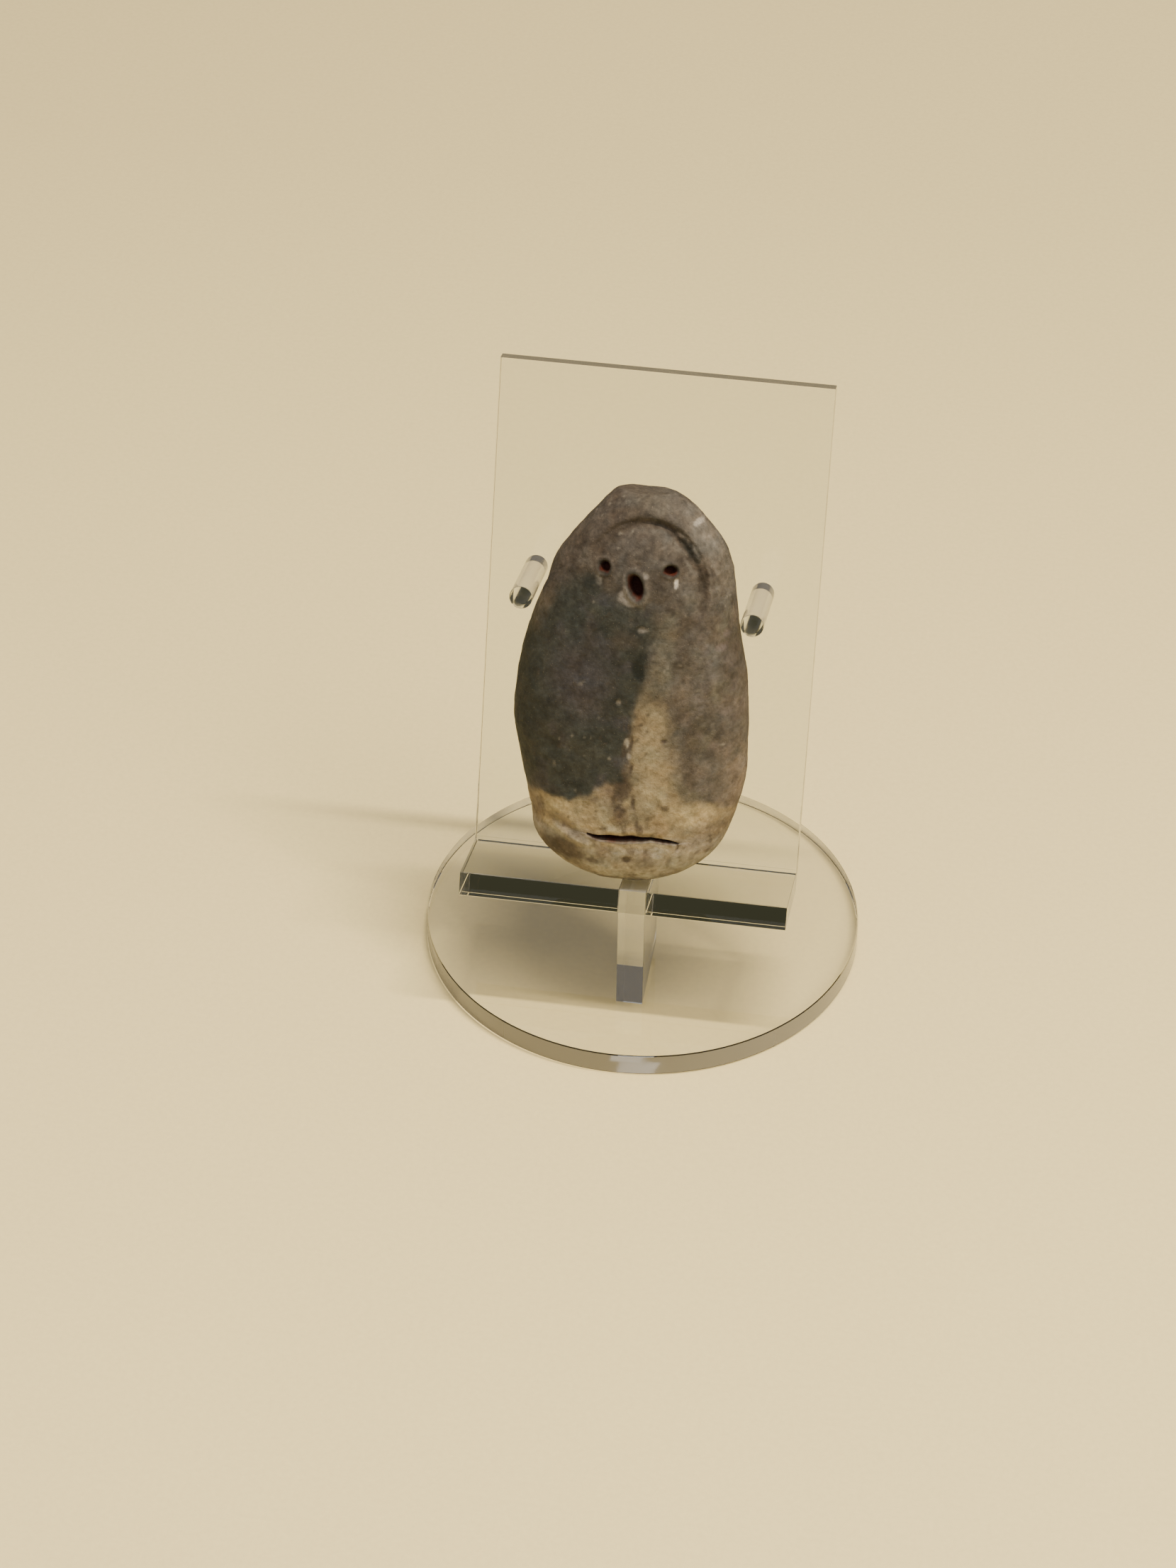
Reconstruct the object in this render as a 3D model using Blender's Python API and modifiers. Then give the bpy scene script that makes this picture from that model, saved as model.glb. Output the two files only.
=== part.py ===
"""A small egg-shaped figurine leaning on its clear display stand.

The figurine is a museum copy of a swaddled clay figure: a flattened egg with a hood round a
tiny face and a slit near its foot. The stand is clear plastic: a round foot, an upright fin,
a tilted ledge in two halves, one each side of the fin, a plate that stands on their rear
and leans back, and two round pegs beside the figurine.

Metres, +Z up. The origin is the middle of the foot's underside, +X is the viewer's right
and +Y the rear.
"""

from math import atan2, cos, hypot, pi, radians, sin, tan

import bmesh
import bpy
import numpy as np
from mathutils import Matrix, Vector

COLLECTION = "dogu_figurine"
CUTTERS = "cutters"

# Clearance between pieces that touch, and the polished edge of the clear pieces.
JOINT_GAP = 0.0003
EDGE_BEVEL = 0.0003

# Foot and upright. The upright is a fin that runs from front to rear, flush with the ledge's
# front, top and rear.
FOOT_RADIUS = 0.045
FOOT_THICKNESS = 0.005
FOOT_SEGMENTS = 96
UPRIGHT_THICKNESS = 0.0054
UPRIGHT_HEIGHT = 0.0238
UPRIGHT_X = 0.0014
UPRIGHT_FRONT = -0.0290

# The tilted rest: a plate that leans back stands on the rear of a ledge, flush with its rear.
LEAN = radians(17.5)
REST_X = -0.0006
REST_WIDTH = 0.0662
LEDGE_DEPTH = 0.0212
LEDGE_THICKNESS = 0.005
PLATE_THICKNESS = 0.003
PLATE_HEIGHT = 0.1024

# The pegs stand beside the figurine at these shares of its height and this far from it.
PEG_RADIUS = 0.0023
PEG_LENGTH = 0.0195
PEG_SEGMENTS = 24
PEG_LEVELS = {"peg_left": 0.741, "peg_right": 0.729}
PEG_CLEARANCES = {"peg_left": 0.0009, "peg_right": 0.0020}

# The figurine. What follows is in shares of its height.
FIGURE_HEIGHT = 0.0810
FIGURE_X = -0.0015
FIGURE_COLUMNS = 68
RINGS_PER_SECTION = 4
SQUARENESS = 2.25

# Sections from foot to crown: height, reach to the left, right, front and back.
SECTIONS = np.array([
    (0.000, 0.000, 0.000, 0.000, 0.000),
    (0.000, 0.046, 0.065, 0.051, 0.038),
    (0.019, 0.119, 0.131, 0.091, 0.066),
    (0.050, 0.173, 0.188, 0.119, 0.085),
    (0.099, 0.219, 0.235, 0.139, 0.097),
    (0.173, 0.236, 0.266, 0.147, 0.103),
    (0.275, 0.263, 0.287, 0.152, 0.107),
    (0.407, 0.291, 0.290, 0.154, 0.108),
    (0.547, 0.282, 0.277, 0.152, 0.108),
    (0.658, 0.258, 0.251, 0.147, 0.107),
    (0.745, 0.232, 0.234, 0.139, 0.102),
    (0.820, 0.207, 0.224, 0.130, 0.095),
    (0.878, 0.169, 0.202, 0.119, 0.087),
    (0.930, 0.130, 0.160, 0.101, 0.073),
    (0.974, 0.094, 0.117, 0.074, 0.055),
    (1.000, 0.060, 0.064, 0.043, 0.033),
    (1.000, 0.000, 0.000, 0.000, 0.000),
])

# The face is an oval inside the hood, and a groove parts them, deepest at the top right.
FACE_X = 0.020
FACE_Z = 0.780
FACE_HALF_WIDTH = 0.148
FACE_HALF_HEIGHT = 0.163
GROOVE_DEPTH = 0.012
GROOVE_OUTER = 0.06
GROOVE_INNER = 0.24
HOOD_RISE = 0.004
HOOD_RIDGE = 1.22
HOOD_SPREAD = 0.12

# Each carved detail lies along the front's slope, measured over this much height.
SLOPE_STEP = 0.03

# Eyes and mouth are pressed holes: place across and up, then half width and half height.
LEFT_EYE = (-0.077, 0.832, 0.0142, 0.0148)
RIGHT_EYE = (0.084, 0.838, 0.0158, 0.0125)
MOUTH = (0.004, 0.794, 0.0182, 0.0325)
EYE_DEPTH = 0.026
MOUTH_DEPTH = 0.034
MOUTH_TILT = radians(-17)
HOLE_TAPER = 0.55
HOLE_SEGMENTS = 16
LIP_THICKNESS = 0.0085
LIP_SINK = 0.0025
LIP_SEGMENTS = (28, 10)

# The slit near the foot, with a lip under it.
SLIT = (0.044, 0.148, 0.122, 0.0060)
SLIT_TILT = radians(3)
SLIT_DEPTH = 0.034
SLIT_SEGMENTS = (24, 10)
SHELF_RISE = 0.006
SHELF_HEIGHT = 0.045


def clear_scene():
    for obj in list(bpy.data.objects):
        bpy.data.objects.remove(obj, do_unlink=True)


def make_collection(name):
    collection = bpy.data.collections.new(name)
    bpy.context.scene.collection.children.link(collection)
    return collection


def move_to(obj, collection):
    for owner in list(obj.users_collection):
        owner.objects.unlink(obj)
    collection.objects.link(obj)


def principled(name, color, roughness, transmission=0.0, ior=1.5):
    material = bpy.data.materials.new(name)
    material.use_nodes = True
    shader = material.node_tree.nodes["Principled BSDF"]
    shader.inputs["Base Color"].default_value = (*color, 1.0)
    shader.inputs["Roughness"].default_value = roughness
    shader.inputs["Metallic"].default_value = 0.0
    shader.inputs["Transmission Weight"].default_value = transmission
    shader.inputs["IOR"].default_value = ior
    return material


def clear_plastic(name):
    return principled(name, (0.93, 0.95, 0.94), 0.03, transmission=1.0, ior=1.49)


def finish_piece(obj, name, material, collection, parent=None):
    """Names the piece, gives it its material and hangs it from its parent."""
    obj.name = name
    obj.data.name = name
    obj.data.materials.append(material)
    move_to(obj, collection)
    obj.parent = parent


def add_bevel(obj):
    bevel = obj.modifiers.new("polished_edge", "BEVEL")
    bevel.width = EDGE_BEVEL
    bevel.segments = 1
    bevel.limit_method = "ANGLE"


def add_block(low, high):
    """A box between two corners, with its origin left at its parent's."""
    size = [b - a for a, b in zip(low, high)]
    middle = [(a + b) / 2 for a, b in zip(low, high)]
    bpy.ops.mesh.primitive_cube_add(size=1)
    obj = bpy.context.active_object
    for vertex in obj.data.vertices:
        vertex.co = [m + s * c for m, s, c in zip(middle, size, vertex.co)]
    return obj


# The clear stand.

def rest_point(y, z):
    """Turns a point of the tilted rest, as y and z from its own corner, into the stand's y and z."""
    underside_y = UPRIGHT_FRONT
    underside_z = FOOT_THICKNESS + UPRIGHT_HEIGHT
    along = y + LEDGE_DEPTH
    above = z + LEDGE_THICKNESS
    return (
        underside_y + along * cos(LEAN) + above * sin(LEAN),
        underside_z - along * sin(LEAN) + above * cos(LEAN),
    )


def add_rest_frame(collection):
    """An empty on the upper edge of the ledge's rear, leaning with the ledge and the plate."""
    frame = bpy.data.objects.new("rest_frame", None)
    collection.objects.link(frame)
    frame.location = (REST_X, *rest_point(0, 0))
    frame.rotation_euler = (-LEAN, 0, 0)
    return frame


def build_base_disc(collection):
    bpy.ops.mesh.primitive_cylinder_add(
        vertices=FOOT_SEGMENTS,
        radius=FOOT_RADIUS,
        depth=FOOT_THICKNESS,
        location=(0, 0, FOOT_THICKNESS / 2),
    )
    disc = bpy.context.active_object
    finish_piece(disc, "base_disc", clear_plastic("base_disc_acrylic"), collection)
    disc.data.shade_smooth()
    disc.data.set_sharp_from_angle(angle=radians(35))
    add_bevel(disc)


def build_upright(collection):
    """The fin: its outline from the side, drawn out to its thickness."""
    foot = FOOT_THICKNESS + JOINT_GAP
    rear_edge = rest_point(0, -LEDGE_THICKNESS)
    outline = [
        (UPRIGHT_FRONT, foot),
        rest_point(-LEDGE_DEPTH, -LEDGE_THICKNESS),
        rest_point(-LEDGE_DEPTH, 0),
        rest_point(0, 0),
        rear_edge,
        (rear_edge[0], foot),
    ]
    half = UPRIGHT_THICKNESS / 2
    bm = bmesh.new()
    left = [bm.verts.new((-half, y, z)) for y, z in outline]
    right = [bm.verts.new((half, y, z)) for y, z in outline]
    bm.faces.new(left)
    bm.faces.new(list(reversed(right)))
    for index in range(len(outline)):
        before = index - 1
        bm.faces.new((left[before], right[before], right[index], left[index]))
    bmesh.ops.recalc_face_normals(bm, faces=bm.faces)
    mesh = bpy.data.meshes.new("upright")
    bm.to_mesh(mesh)
    bm.free()
    upright = bpy.data.objects.new("upright", mesh)
    bpy.context.scene.collection.objects.link(upright)
    upright.location = (UPRIGHT_X, 0, 0)
    finish_piece(upright, "upright", clear_plastic("upright_acrylic"), collection)
    add_bevel(upright)


def build_ledges(collection, frame):
    """The ledge's two halves, which end beside the upright."""
    half = REST_WIDTH / 2
    beside = UPRIGHT_THICKNESS / 2 + JOINT_GAP
    upright_x = UPRIGHT_X - REST_X
    spans = {
        "ledge_left": (-half, upright_x - beside),
        "ledge_right": (upright_x + beside, half),
    }
    for name, (start, end) in spans.items():
        ledge = add_block((start, -LEDGE_DEPTH, -LEDGE_THICKNESS), (end, 0, 0))
        finish_piece(ledge, name, clear_plastic(name + "_acrylic"), collection, frame)
        add_bevel(ledge)


def build_back_plate(collection, frame):
    """The plate, which stands on the ledge with its rear flush with the ledge's."""
    half = REST_WIDTH / 2
    plate = add_block((-half, -PLATE_THICKNESS, JOINT_GAP), (half, 0, PLATE_HEIGHT))
    finish_piece(plate, "back_plate", clear_plastic("back_plate_acrylic"), collection, frame)
    add_bevel(plate)


def build_pegs(collection, frame):
    """Two round pegs square to the plate, one each side of the figurine."""
    glued_end = -PLATE_THICKNESS - JOINT_GAP
    for name, level in PEG_LEVELS.items():
        _, left, right, _, _ = section_at(level)
        beside = PEG_CLEARANCES[name] + PEG_RADIUS
        if name == "peg_left":
            across = FIGURE_X - left * FIGURE_HEIGHT - beside
        else:
            across = FIGURE_X + right * FIGURE_HEIGHT + beside
        bpy.ops.mesh.primitive_cylinder_add(
            vertices=PEG_SEGMENTS,
            radius=PEG_RADIUS,
            depth=PEG_LENGTH,
            rotation=(pi / 2, 0, 0),
            location=(across, glued_end - PEG_LENGTH / 2, level * FIGURE_HEIGHT),
        )
        peg = bpy.context.active_object
        finish_piece(peg, name, clear_plastic(name + "_acrylic"), collection, frame)
        peg.data.shade_smooth()
        peg.data.set_sharp_from_angle(angle=radians(35))
        add_bevel(peg)


# The figurine's form, in shares of its height.

def section(place):
    """The section at a place from 0 at the foot to 1 at the crown, on a smooth curve."""
    last = len(SECTIONS) - 1
    index = min(int(place * last), last - 1)
    f = place * last - index
    before = SECTIONS[max(index - 1, 0)]
    start = SECTIONS[index]
    end = SECTIONS[index + 1]
    after = SECTIONS[min(index + 2, last)]
    bend = (2 * before - 5 * start + 4 * end - after) * f ** 2
    twist = (3 * start - before - 3 * end + after) * f ** 3
    values = (2 * start + (end - before) * f + bend + twist) / 2
    return np.clip(values, 0.0, 1.0)


def section_at(height):
    """The section at a share of the height, found by halving."""
    low, high = 0.0, 1.0
    for _ in range(40):
        middle = (low + high) / 2
        if section(middle)[0] < height:
            low = middle
        else:
            high = middle
    return section(high)


def relief(x, z):
    """How far the front stands out at a point: the hood, the groove and the shelf."""
    dx = (x - FACE_X) / FACE_HALF_WIDTH
    dz = (z - FACE_Z) / FACE_HALF_HEIGHT
    out = max(hypot(dx, dz), 0.001)
    strength = min(max(0.45 + 0.55 * dz / out + 0.25 * dx / out, 0.0), 1.0)
    spread = GROOVE_OUTER if out > 1 else GROOVE_INNER
    groove = GROOVE_DEPTH * np.exp(-(((out - 1) / spread) ** 2))
    hood = HOOD_RISE * np.exp(-(((out - HOOD_RIDGE) / HOOD_SPREAD) ** 2))
    return strength * (hood - groove) + shelf(x, z)


def shelf(x, z):
    """The lip under the slit: a step at the slit that fades out towards the foot."""
    slit_x, slit_z, half_length, _ = SLIT
    below = slit_z + tan(SLIT_TILT) * (x - slit_x) - z
    along = (x - slit_x) / half_length
    if below < 0 or below > SHELF_HEIGHT:
        return 0.0
    return SHELF_RISE * (1 - below / SHELF_HEIGHT) ** 2 * np.exp(-(along ** 4))


def front_y(x, z):
    """Where the front surface lies at a point, as a y value."""
    _, left, right, front, _ = section_at(z)
    side = right if x > 0 else left
    share = min(abs(x) / side, 1.0)
    depth = front * (1 - share ** SQUARENESS) ** (1 / SQUARENESS)
    return -depth - relief(x, z)


def body_point(direction):
    """Moves a point of a unit sphere to the figurine's surface."""
    place = 0.5 + atan2(direction.z, hypot(direction.x, direction.y)) / pi
    height, left, right, front, back = section(place)
    turn = atan2(direction.y, direction.x)
    across, out = cos(turn), sin(turn)
    reach = (abs(across) ** SQUARENESS + abs(out) ** SQUARENESS) ** (-1 / SQUARENESS)
    x = across * reach * (right if across > 0 else left)
    y = out * reach * (back if out > 0 else front)
    facing = max(-out, 0.0) ** 0.5
    return Vector((x, y - facing * relief(x, height), height)) * FIGURE_HEIGHT


# The figurine's carving.

def finish_cutter(obj, name, cutters, body):
    obj.name = name
    move_to(obj, cutters)
    obj.parent = body
    obj.hide_render = True
    obj.display_type = "WIRE"
    return obj


def combine(body, cutter, operation):
    boolean = body.modifiers.new(cutter.name, "BOOLEAN")
    boolean.operation = operation
    boolean.solver = "EXACT"
    boolean.object = cutter


def set_on_front(obj, x, z, scale, tilt=0.0, sink=0.0):
    """Stretches and turns the mesh in its own plane, then lays it on the figurine's front."""
    turn = Matrix.Rotation(tilt, 3, "Y")
    for vertex in obj.data.vertices:
        stretched = Vector([c * s * FIGURE_HEIGHT for c, s in zip(vertex.co, scale)])
        vertex.co = turn @ stretched
    rise = front_y(x, z + SLOPE_STEP) - front_y(x, z - SLOPE_STEP)
    obj.rotation_euler = (-atan2(rise, 2 * SLOPE_STEP), 0, 0)
    obj.location = Vector((x, front_y(x, z) + sink, z)) * FIGURE_HEIGHT


def press_hole(body, cutters, name, hole, depth, tilt=0.0):
    """An oval hole that narrows as it goes in."""
    x, z, half_width, half_height = hole
    bpy.ops.mesh.primitive_cone_add(
        vertices=HOLE_SEGMENTS,
        radius1=1 + (1 - HOLE_TAPER),
        radius2=HOLE_TAPER,
        depth=2,
        rotation=(-pi / 2, 0, 0),
    )
    cone = bpy.context.active_object
    bpy.ops.object.transform_apply(location=False, rotation=True, scale=False)
    set_on_front(cone, x, z, (half_width, depth, half_height), tilt)
    combine(body, finish_cutter(cone, name, cutters, body), "DIFFERENCE")


def add_mouth_rim(body, cutters):
    x, z, half_width, half_height = MOUTH
    around, through = LIP_SEGMENTS
    bpy.ops.mesh.primitive_torus_add(
        major_segments=around,
        minor_segments=through,
        major_radius=half_width + LIP_THICKNESS / 2,
        minor_radius=LIP_THICKNESS,
        rotation=(pi / 2, 0, 0),
    )
    rim = bpy.context.active_object
    bpy.ops.object.transform_apply(location=False, rotation=True, scale=False)
    scale = (1, 1, half_height / half_width)
    set_on_front(rim, x, z, scale, MOUTH_TILT, LIP_SINK)
    combine(body, finish_cutter(rim, "mouth_rim", cutters, body), "UNION")


def cut_slit(body, cutters):
    x, z, half_length, half_height = SLIT
    around, up = SLIT_SEGMENTS
    bpy.ops.mesh.primitive_uv_sphere_add(segments=around, ring_count=up, radius=1)
    lens = bpy.context.active_object
    set_on_front(lens, x, z, (half_length, SLIT_DEPTH, half_height), -SLIT_TILT)
    combine(body, finish_cutter(lens, "slit", cutters, body), "DIFFERENCE")


def build_figurine(collection, cutters, frame):
    """A sphere drawn out into the hooded egg, with its face and slit cut in."""
    mesh = bpy.data.meshes.new("figurine")
    bm = bmesh.new()
    bmesh.ops.create_uvsphere(
        bm,
        u_segments=FIGURE_COLUMNS,
        v_segments=(len(SECTIONS) - 1) * RINGS_PER_SECTION,
        radius=1,
    )
    for vertex in bm.verts:
        vertex.co = body_point(vertex.co)
    bm.to_mesh(mesh)
    bm.free()
    figurine = bpy.data.objects.new("figurine", mesh)
    bpy.context.scene.collection.objects.link(figurine)
    clay = principled("figurine_painted_resin", (0.165, 0.135, 0.100), 0.82)
    finish_piece(figurine, "figurine", clay, collection, frame)
    back = SECTIONS[:, 4].max() * FIGURE_HEIGHT
    figurine.location = (FIGURE_X, -PLATE_THICKNESS - JOINT_GAP - back, JOINT_GAP)
    figurine.data.shade_smooth()
    figurine.data.set_sharp_from_angle(angle=radians(40))
    add_mouth_rim(figurine, cutters)
    press_hole(figurine, cutters, "mouth_hole", MOUTH, MOUTH_DEPTH, MOUTH_TILT)
    press_hole(figurine, cutters, "left_eye_hole", LEFT_EYE, EYE_DEPTH)
    press_hole(figurine, cutters, "right_eye_hole", RIGHT_EYE, EYE_DEPTH)
    cut_slit(figurine, cutters)


def main():
    clear_scene()
    pieces = make_collection(COLLECTION)
    cutters = make_collection(CUTTERS)
    frame = add_rest_frame(pieces)
    build_base_disc(pieces)
    build_upright(pieces)
    build_ledges(pieces, frame)
    build_back_plate(pieces, frame)
    build_pegs(pieces, frame)
    build_figurine(pieces, cutters, frame)


main()
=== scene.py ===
"""The swaddled figurine leaning on its clear stand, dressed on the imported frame.

Metres, in the frame's own axes: +Z up, +X to the viewer's right, +Y to the rear. The
figurine's own sizes are shares of its height, across from its centre line and up from
its foot. The first named sizes repeat those that drive the solids.
"""

from math import cos, pi, radians, sin

import bmesh
import bpy
import numpy as np
from mathutils import Matrix, Vector


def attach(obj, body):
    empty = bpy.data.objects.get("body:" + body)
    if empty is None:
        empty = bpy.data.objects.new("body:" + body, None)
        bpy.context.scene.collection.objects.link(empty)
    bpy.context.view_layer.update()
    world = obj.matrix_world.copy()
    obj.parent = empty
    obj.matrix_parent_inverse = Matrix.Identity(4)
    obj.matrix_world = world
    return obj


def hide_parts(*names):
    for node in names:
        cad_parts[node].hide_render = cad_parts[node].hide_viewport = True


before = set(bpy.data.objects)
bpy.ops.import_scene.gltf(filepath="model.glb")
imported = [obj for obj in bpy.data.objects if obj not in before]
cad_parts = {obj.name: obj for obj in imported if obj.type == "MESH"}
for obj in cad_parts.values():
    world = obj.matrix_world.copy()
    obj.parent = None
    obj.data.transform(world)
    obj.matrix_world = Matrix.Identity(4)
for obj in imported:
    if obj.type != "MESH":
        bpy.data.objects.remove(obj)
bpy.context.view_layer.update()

# Sizes shared with the solids.
JOINT_GAP = 0.0003
FOOT_RADIUS = 0.045
FOOT_THICKNESS = 0.005
UPRIGHT_THICKNESS = 0.0054
UPRIGHT_HEIGHT = 0.0238
UPRIGHT_X = 0.0014
UPRIGHT_FRONT = -0.0290
LEAN = radians(17.5)
REST_X = -0.0006
REST_WIDTH = 0.0662
LEDGE_DEPTH = 0.0212
LEDGE_THICKNESS = 0.005
PLATE_THICKNESS = 0.003
PLATE_HEIGHT = 0.1024
PEG_RADIUS = 0.0023
PEG_LENGTH = 0.0195
PEG_LEVELS = {"peg_left": 0.741, "peg_right": 0.729}
PEG_CLEARANCES = {"peg_left": 0.0009, "peg_right": 0.0020}
FIGURE_HEIGHT = 0.0810
FIGURE_X = -0.0015
SQUARENESS = 2.25

# Sections from foot to crown: height, reach to the left, right, front and back.
SECTIONS = np.array([
    (0.000, 0.000, 0.000, 0.000, 0.000),
    (0.000, 0.046, 0.065, 0.051, 0.038),
    (0.019, 0.119, 0.131, 0.091, 0.066),
    (0.050, 0.173, 0.188, 0.119, 0.085),
    (0.099, 0.219, 0.235, 0.139, 0.097),
    (0.173, 0.236, 0.266, 0.147, 0.103),
    (0.275, 0.263, 0.287, 0.152, 0.107),
    (0.407, 0.291, 0.290, 0.154, 0.108),
    (0.547, 0.282, 0.277, 0.152, 0.108),
    (0.658, 0.258, 0.251, 0.147, 0.107),
    (0.745, 0.232, 0.234, 0.139, 0.102),
    (0.820, 0.207, 0.224, 0.130, 0.095),
    (0.878, 0.169, 0.202, 0.119, 0.087),
    (0.930, 0.130, 0.160, 0.101, 0.073),
    (0.974, 0.094, 0.117, 0.074, 0.055),
    (1.000, 0.060, 0.064, 0.043, 0.033),
    (1.000, 0.000, 0.000, 0.000, 0.000),
])
FACE = (0.020, 0.780, 0.148, 0.163)
GROOVE_DEPTH = 0.012
GROOVE_OUTER = 0.06
GROOVE_INNER = 0.24
HOOD_RISE = 0.004
HOOD_RIDGE = 1.22
HOOD_SPREAD = 0.12
LEFT_EYE = (-0.077, 0.832, 0.0142, 0.0148)
RIGHT_EYE = (0.084, 0.838, 0.0158, 0.0125)
MOUTH = (0.004, 0.794, 0.0182, 0.0325)
EYE_DEPTH = 0.026
MOUTH_DEPTH = 0.034
MOUTH_TILT = radians(-17)
LIP_THICKNESS = 0.0085
SHELF_RISE = 0.006
SHELF_HEIGHT = 0.045
SLIT_DEPTH = 0.030

# The clear pieces: how far a glued end goes into its neighbour, the air beside the upright
# where the ledge meets it, and how round their edges are.
GLUE_DEPTH = 0.00005
SIDE_AIR = 0.0001
EDGE_ROUND = 0.00012
FOOT_ROUND = 0.00030
EDGE_STEPS = 3
ROUND_PROFILE = 0.5
SHARP_ANGLE = radians(12)
DISC_SEGMENTS = 192
PEG_SEGMENTS = 64
TOUCHING = 1e-6

# The looks of cut edges: clearness, haze and tint.
EDGE_TINT = (0.80, 0.78, 0.71)
SAWN_EDGE = (0.70, 0.25, EDGE_TINT)
# The plate's edges are tinted darker and browner than the other cut edges: painted shade for how dark
# its thin edges look.
PLATE_EDGE = (0.70, 0.25, (0.50, 0.45, 0.32))
UPRIGHT_TOP = (0.86, 0.10, EDGE_TINT)
PEG_SIDE = (0.90, 0.15, (0.95, 0.93, 0.88))

# How much of a face's normal lies along an axis.
HARDLY = 0.1
HALFWAY = 0.5
MOSTLY = 0.9

# The figurine's mesh. Rows and columns are closer together on the front, the face and the slit.
COLUMNS = 284
ROWS = 334
FRONT_DENSITY = 0.55
CLOSE_ROWS = ((0.800, 0.085, 0.9), (0.146, 0.020, 2.6))
ROW_SAMPLES = 6001
SECTION_SAMPLES = 4001

# Carved lines on the front, each a path of (across, up) points.
SLIT_PATH = (
    (-0.075, 0.147), (-0.060, 0.143), (-0.043, 0.141), (-0.018, 0.144), (0.010, 0.143),
    (0.035, 0.147), (0.060, 0.146), (0.082, 0.149), (0.104, 0.146), (0.129, 0.142), (0.147, 0.139),
)
SLIT_HALF_HEIGHT = 0.0088
SLIT_SWELL = (
    (0, 0.12, 0.30, 0.50, 0.62, 0.72, 0.84, 1),
    (0.3, 0.6, 0.95, 1, 0.7, 0.55, 0.62, 0.3),
)
FOLD_SPAN = slice(3, 9)
NOTCH_PATH = ((0.146, 0.140), (0.149, 0.130), (0.146, 0.117))
CREASE_PATH = ((-0.186, 0.176), (-0.150, 0.164), (-0.118, 0.150), (-0.090, 0.138))
RIDGE_PATH = ((-0.186, 0.160), (-0.150, 0.145), (-0.115, 0.128), (-0.085, 0.118), (-0.060, 0.113))
SEAM_PATH = (
    (0.018, 0.470), (0.012, 0.435), (0.021, 0.405), (0.014, 0.375), (0.025, 0.345),
    (0.018, 0.310), (0.031, 0.270), (0.034, 0.230), (0.045, 0.190), (0.043, 0.168),
)

# Scratched lines: path, depth, half width and the share of the length where each end fades.
# The ridge is raised, so its depth is negative.
SEAM = (SEAM_PATH, 0.0022, 0.0036, 0.2)
SLIT_LINES = (
    (NOTCH_PATH, 0.005, 0.0035, 0.12),
    (CREASE_PATH, 0.0040, 0.011, 0.35),
    (RIDGE_PATH, -0.0045, 0.013, 0.3),
)

# The hood's inner rim, from its left end over the top and down the right side, and its
# strength by the angle from straight up.
HOOD_MIDDLE = (0.030, 0.790)
HOOD_LINE = (
    (-0.104, 0.836), (-0.094, 0.862), (-0.078, 0.884), (-0.055, 0.911), (-0.022, 0.932),
    (0.018, 0.944), (0.060, 0.940), (0.098, 0.914), (0.126, 0.884), (0.146, 0.848),
    (0.160, 0.812), (0.168, 0.775), (0.170, 0.738),
)
RIM_STRENGTH = (
    (-1.45, -1.0, -0.3, 0.15, 0.5, 1.2, 1.75, 2.1),
    (0, 0.35, 0.45, 0.8, 1, 1, 0.5, 0),
)
RIM_DEPTH = 0.0085
RIM_WALL = 0.0045
RIM_INSIDE = 0.034
RIM_BULGE = 0.0035

# Heights of smaller relief. The walls are in half sizes of the hole.
HOLE_WALL = (0.45, 1.12)
HOLE_RIM = 0.0022
MOUTH_WALL = (0.55, 1.05)
LIP_RISE = 0.0058
LIP_SPREAD = 0.75 * LIP_THICKNESS
SLIT_WALL = (0.45, 1.2)
FOLD_RISE = 0.0030
WAVE_HEIGHT = 0.0026
RIPPLE_HEIGHT = 0.0015
GRAIN_HEIGHT = 0.0008

NOISE_SIDE = 32
CLOUD_RANGE = 1.4

# The paint, as linear colours.
PALETTE = {
    "taupe": (0.092, 0.080, 0.065),
    "olive": (0.098, 0.091, 0.068),
    "umber": (0.054, 0.044, 0.033),
    "pink": (0.130, 0.108, 0.096),
    "crown": (0.092, 0.080, 0.061),
    "pale": (0.140, 0.127, 0.106),
    "brown": (0.064, 0.052, 0.041),
    "face": (0.066, 0.057, 0.047),
    "charcoal": (0.036, 0.039, 0.033),
    "plum": (0.052, 0.048, 0.050),
    "soot": (0.016, 0.019, 0.016),
    "tan": (0.222, 0.180, 0.110),
    "ochre": (0.470, 0.380, 0.215),
    "sand": (0.330, 0.300, 0.240),
    "clay": (0.155, 0.126, 0.100),
    "crack": (0.068, 0.052, 0.038),
    "hole": (0.062, 0.015, 0.008),
    "bone": (0.230, 0.210, 0.185),
    "chalk": (0.480, 0.440, 0.370),
}


def fade(value, low, high):
    """Goes smoothly from 0 at low to 1 at high."""
    share = np.clip((value - low) / (high - low), 0, 1)
    return share * share * (3 - 2 * share)


def fall(value, start, end):
    """Goes smoothly from 1 at start to 0 at end."""
    return 1 - fade(value, start, end)


def bell(value, middle, spread):
    """A smooth bump: 1 at its middle and near 0 two spreads away."""
    return np.exp(-(((value - middle) / spread) ** 2))


def streak(value, middle, inner, outer):
    """A soft line: 1 within its inner half width of the middle and 0 beyond the outer one."""
    return fall(np.abs(value - middle), inner, outer)


def lattice_noise(points, cell, seed):
    """Smooth noise from -1 to 1 whose bumps are about one cell wide."""
    table = np.random.default_rng(seed).uniform(-1, 1, (NOISE_SIDE,) * 3)
    scaled = points / cell
    low = np.floor(scaled).astype(int)
    near = scaled - low
    near = near * near * (3 - 2 * near)
    total = np.zeros(len(points))
    for corner in np.ndindex(2, 2, 2):
        i, j, k = ((low + corner) % NOISE_SIDE).T
        weight = np.prod(np.where(corner, near, 1 - near), axis=1)
        total += weight * table[i, j, k]
    return total


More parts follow.
